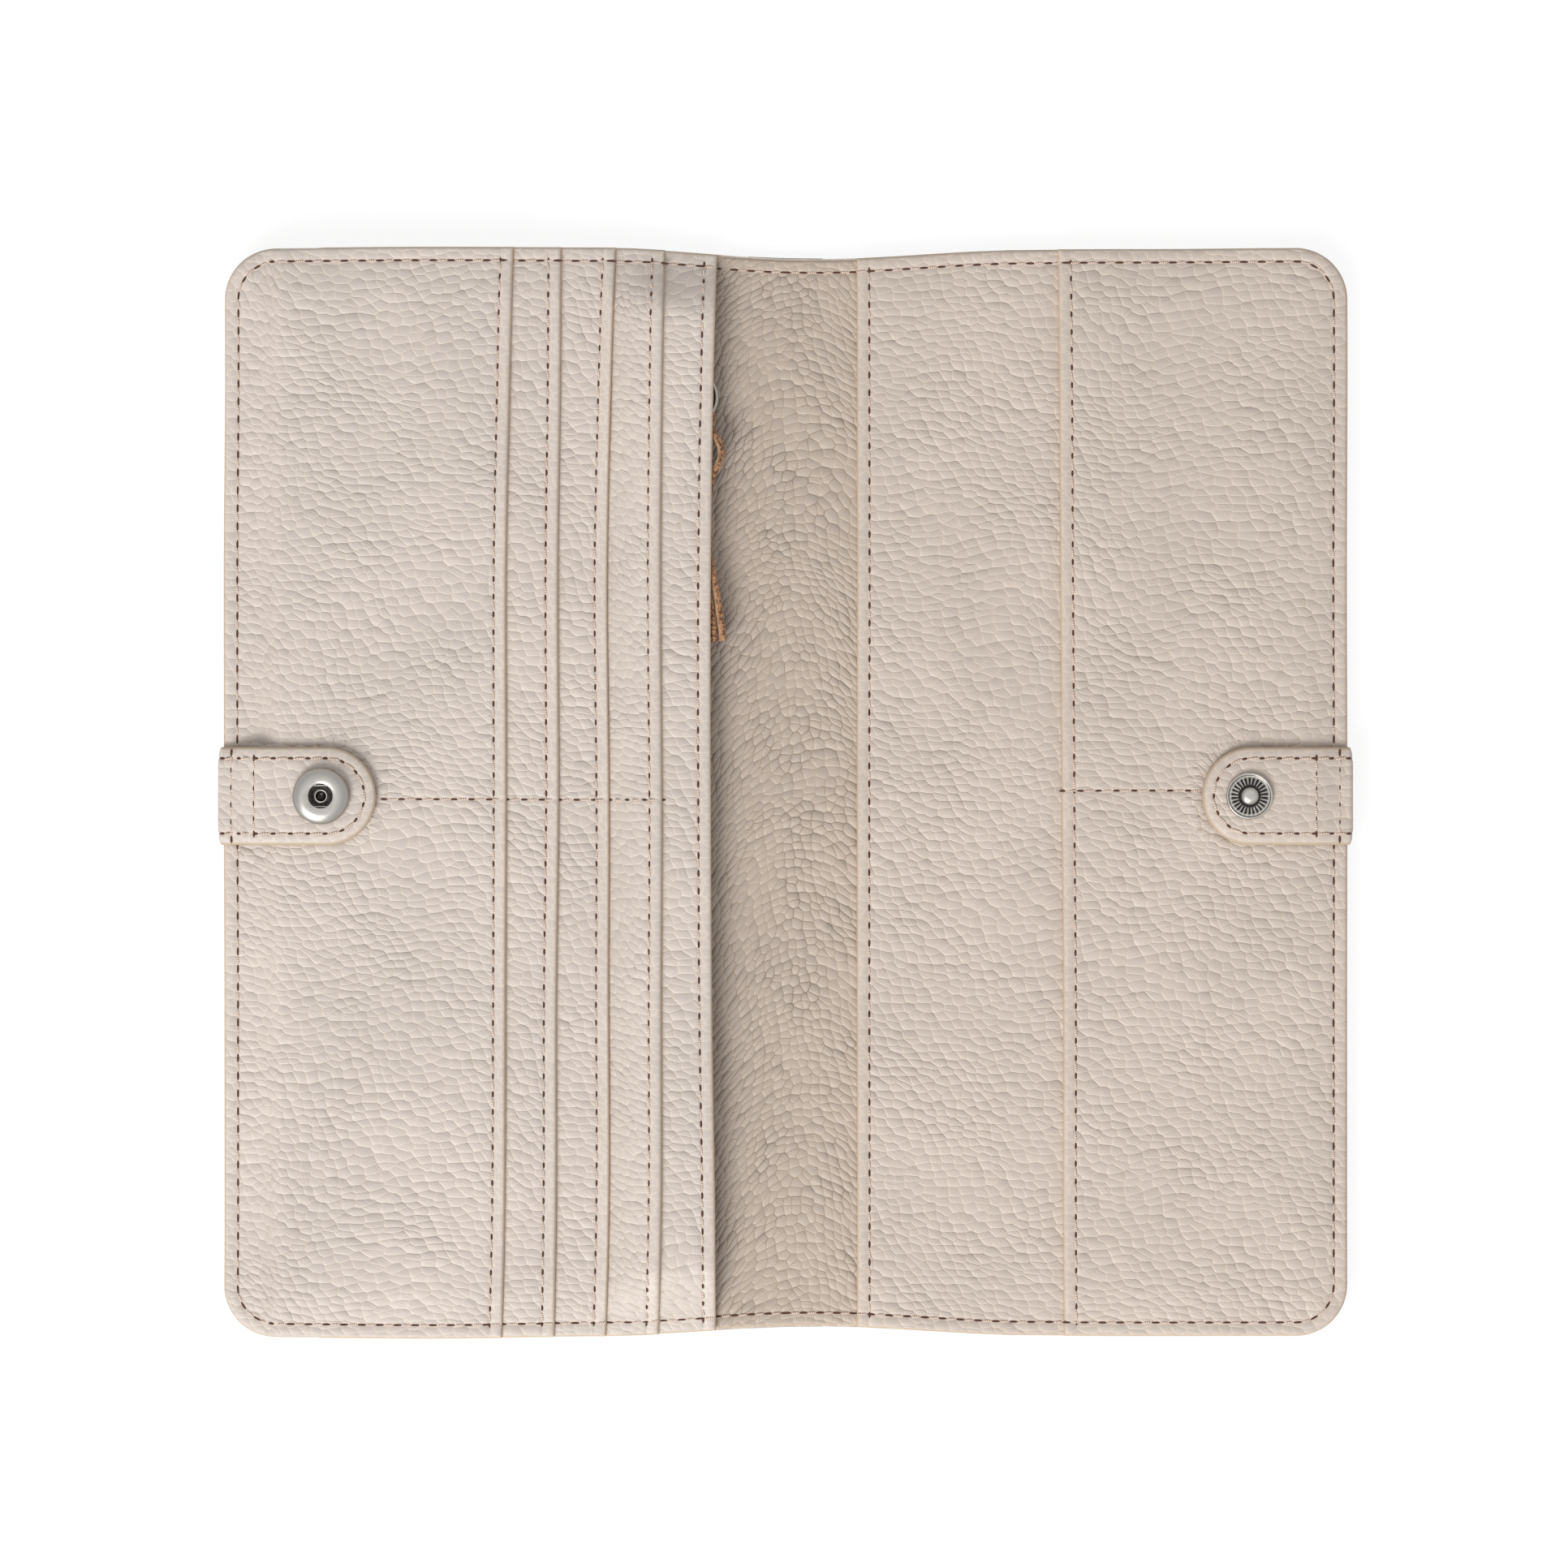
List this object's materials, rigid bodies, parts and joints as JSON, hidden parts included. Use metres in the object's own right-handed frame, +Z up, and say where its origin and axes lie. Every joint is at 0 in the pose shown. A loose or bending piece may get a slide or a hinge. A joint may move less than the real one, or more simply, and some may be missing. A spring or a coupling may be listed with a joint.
{
  "type": "long bifold wallet",
  "caption": "Long leather bifold wallet lying open, with stepped card pockets, a zipped coin pocket behind them, slip pockets and two snap tabs.",
  "frame": {"origin": "on the table under the middle of the open wallet, in the plane of its outer leather", "axes": "+X across the spine towards the back cover, +Y along the spine towards the top edge, +Z up out of the inner faces"},
  "size_m": [0.198, 0.19, 0.0111],
  "materials": {
    "outer_leather": "pebbled, satin",
    "inner_leather": "pebbled, satin",
    "inner_leather_back": "pebbled, satin",
    "lining_leather": "pebbled, satin",
    "board": "matt",
    "interlining": "matt",
    "zip_tape": "woven, matt",
    "zip_metal": "satin nickel",
    "suede_lace": "raw suede",
    "snap_metal": "antique nickel"
  },
  "bodies": {
    "back_cover": {"back_outer_leather": "outer_leather", "back_board": "board", "back_lining": "lining_leather", "bill_slip_panel": "inner_leather_back", "back_card_panel": "inner_leather_back", "back_tab_turn": "inner_leather_back"},
    "spine": {"spine_outer_leather": "outer_leather", "spine_interlining": "interlining", "spine_lining": "lining_leather"},
    "front_cover": {"front_outer_leather": "outer_leather", "front_board": "board", "front_lining": "lining_leather", "coin_pocket_panel": "lining_leather", "zip_tape_front": "zip_tape", "zip_tape_spine": "zip_tape", "zip_teeth_front": "zip_metal", "zip_teeth_spine": "zip_metal", "zip_top_stop_front": "zip_metal", "zip_top_stop_spine": "zip_metal", "zip_bottom_stop": "zip_metal", "card_backing_panel": "inner_leather", "card_pocket_4": "inner_leather", "card_pocket_3": "inner_leather", "card_pocket_2": "inner_leather", "card_pocket_1": "inner_leather", "front_tab_turn": "inner_leather"},
    "front_tab": {"front_tab_lower_ply": "inner_leather", "front_tab_upper_ply": "inner_leather", "socket_body": "snap_metal", "socket_eyelet": "snap_metal", "socket_spring": "snap_metal"},
    "back_tab": {"back_tab_lower_ply": "inner_leather_back", "back_tab_upper_ply": "inner_leather_back", "stud_body": "snap_metal", "stud_post": "snap_metal"},
    "slider": {"zip_slider": "zip_metal"},
    "ring": {"pull_ring": "zip_metal"},
    "lace": {"pull_lace": "suede_lace"}
  },
  "joints": [
    {"name": "back_crease", "type": "hinge", "parent": "back_cover", "child": "spine", "pos_m": [0.00668, 0, 0.0026], "axis": [0, 1, 0], "range_deg": [0, 90]},
    {"name": "front_crease", "type": "hinge", "parent": "spine", "child": "front_cover", "pos_m": [-0.00668, 0, 0.0026], "axis": [0, 1, 0], "range_deg": [0, 90]},
    {"name": "front_tab_flex", "type": "hinge", "parent": "front_cover", "child": "front_tab", "pos_m": [-0.093, -0.0006, 0.0088], "axis": [0, 1, 0], "range_deg": [-60, 0]},
    {"name": "back_tab_flex", "type": "hinge", "parent": "back_cover", "child": "back_tab", "pos_m": [0.093, -0.0006, 0.00625], "axis": [0, -1, 0], "range_deg": [-60, 0]},
    {"name": "zip_slide", "type": "slide", "parent": "front_cover", "child": "slider", "axis": [0, 1, 0], "range_m": [-0.108, 0]},
    {"name": "ring_swing", "type": "hinge", "parent": "slider", "child": "ring", "pos_m": [-0.0184, 0.0727, 0.006], "axis": [0, 0, -1], "range_deg": [-12, 0]},
    {"name": "lace_swing", "type": "hinge", "parent": "ring", "child": "lace", "pos_m": [-0.01638, 0.0689, 0.006], "axis": [0, 0, -1], "range_deg": [-75, 0]}
  ],
  "couplings": [
    {"joint": "front_crease", "follows": "back_crease", "ratio": 1}
  ]
}
